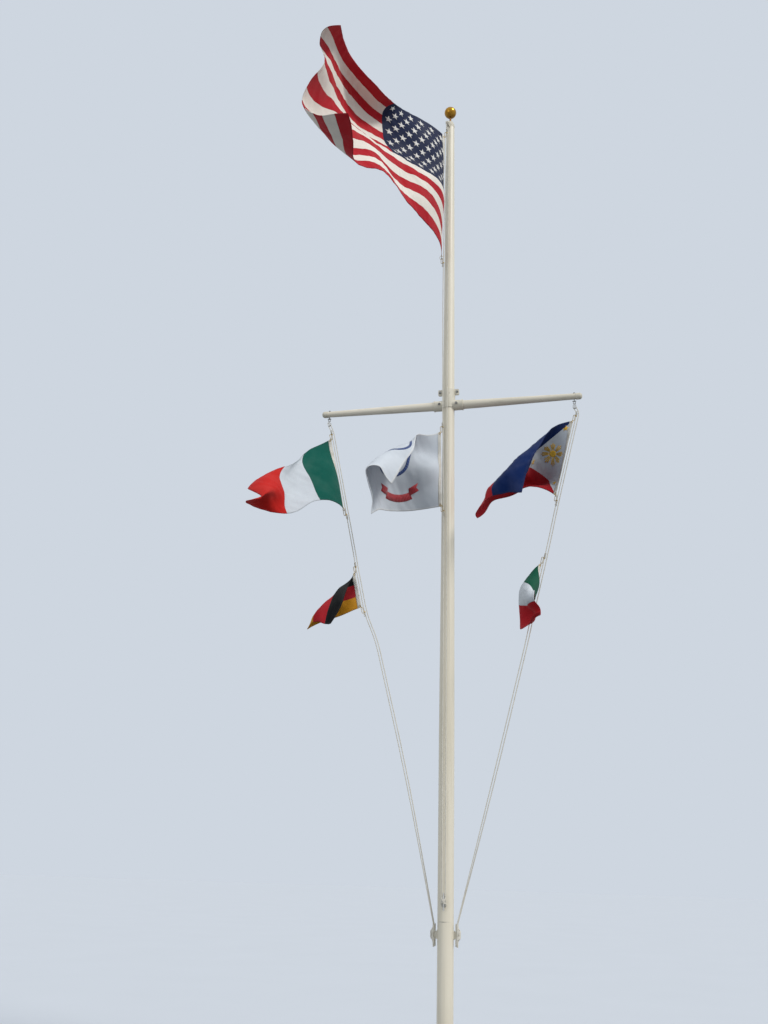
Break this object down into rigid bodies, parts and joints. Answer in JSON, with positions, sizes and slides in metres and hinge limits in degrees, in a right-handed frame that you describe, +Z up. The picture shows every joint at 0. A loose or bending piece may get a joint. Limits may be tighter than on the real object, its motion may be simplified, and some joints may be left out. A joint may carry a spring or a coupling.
{
  "type": "flagpole",
  "caption": "Tapered white yard-arm flagpole with gold ball, truck pulley, crosstree clamp, taut halyards, cleats and flags flying",
  "frame": {"origin": "on the pole's axis at the ground face", "axes": "+Z up along the pole, +X along the right yardarm, -Y towards the viewer of the picture"},
  "size_m": [2.4717, 1.9964, 7.8296],
  "materials": {
    "pole_paint": "semi-gloss white paint",
    "cast_paint": "weathered light grey paint on castings",
    "cast_metal": "satin cast aluminium",
    "bare_metal": "spun aluminium",
    "block_metal": "satin steel",
    "sheave_metal": "worn metal",
    "bolt_steel": "dull galvanised steel",
    "gold": "gold anodised, glossy",
    "line_white": "braided white line",
    "snap_brass": "dull cast brass",
    "flag_cloth": "woven nylon cloth"
  },
  "bodies": {
    "frame": {"pole_tube": "pole_paint", "flash_collar": "bare_metal", "truck_cap": "cast_metal", "truck_axle": "bolt_steel", "finial_stem": "bolt_steel", "finial_ball": "gold", "crosstree_front": "cast_paint", "crosstree_rear": "cast_paint", "crosstree_bolt_upper_left": "bolt_steel", "crosstree_bolt_lower_left": "bolt_steel", "yardarm_left": "pole_paint", "yardarm_cap_left": "cast_paint", "eye_bolt_left": "bolt_steel", "shackle_left": "bolt_steel", "block_shell_left": "block_metal", "crosstree_bolt_upper_right": "bolt_steel", "crosstree_bolt_lower_right": "bolt_steel", "yardarm_right": "pole_paint", "yardarm_cap_right": "cast_paint", "eye_bolt_right": "bolt_steel", "shackle_right": "bolt_steel", "block_shell_right": "block_metal", "cleat_left": "cast_metal", "hank_left": "line_white", "cleat_right": "cast_metal", "hank_right": "line_white", "cleat_front": "cast_metal", "hank_front": "line_white", "halyard_main": "line_white", "halyard_left": "line_white", "halyard_right": "line_white", "snaps_ensign": "snap_brass", "snaps_white": "snap_brass", "snaps_left_top": "snap_brass", "snaps_left_low": "snap_brass", "snaps_right_top": "snap_brass", "snaps_right_low": "snap_brass", "flag_ensign": "flag_cloth", "flag_white": "flag_cloth", "flag_left_top": "flag_cloth", "flag_left_low": "flag_cloth", "flag_right_top": "flag_cloth", "flag_right_low": "flag_cloth"},
    "truck_wheel": {"truck_sheave": "sheave_metal"},
    "block_wheel_left": {"block_sheave_left": "sheave_metal"},
    "block_wheel_right": {"block_sheave_right": "sheave_metal"}
  },
  "joints": [
    {"name": "truck_sheave_turn", "type": "hinge", "parent": "frame", "child": "truck_wheel", "pos_m": [-0.01331, -0.0626, 7.624], "axis": [0.9781, -0.2079, 0], "continuous": true},
    {"name": "block_sheave_left_turn", "type": "hinge", "parent": "frame", "child": "block_wheel_left", "pos_m": [-0.972, 0, 4.90443], "axis": [0, 1, 0], "continuous": true},
    {"name": "block_sheave_right_turn", "type": "hinge", "parent": "frame", "child": "block_wheel_right", "pos_m": [0.972, 0, 4.90443], "axis": [0, 1, 0], "continuous": true}
  ]
}
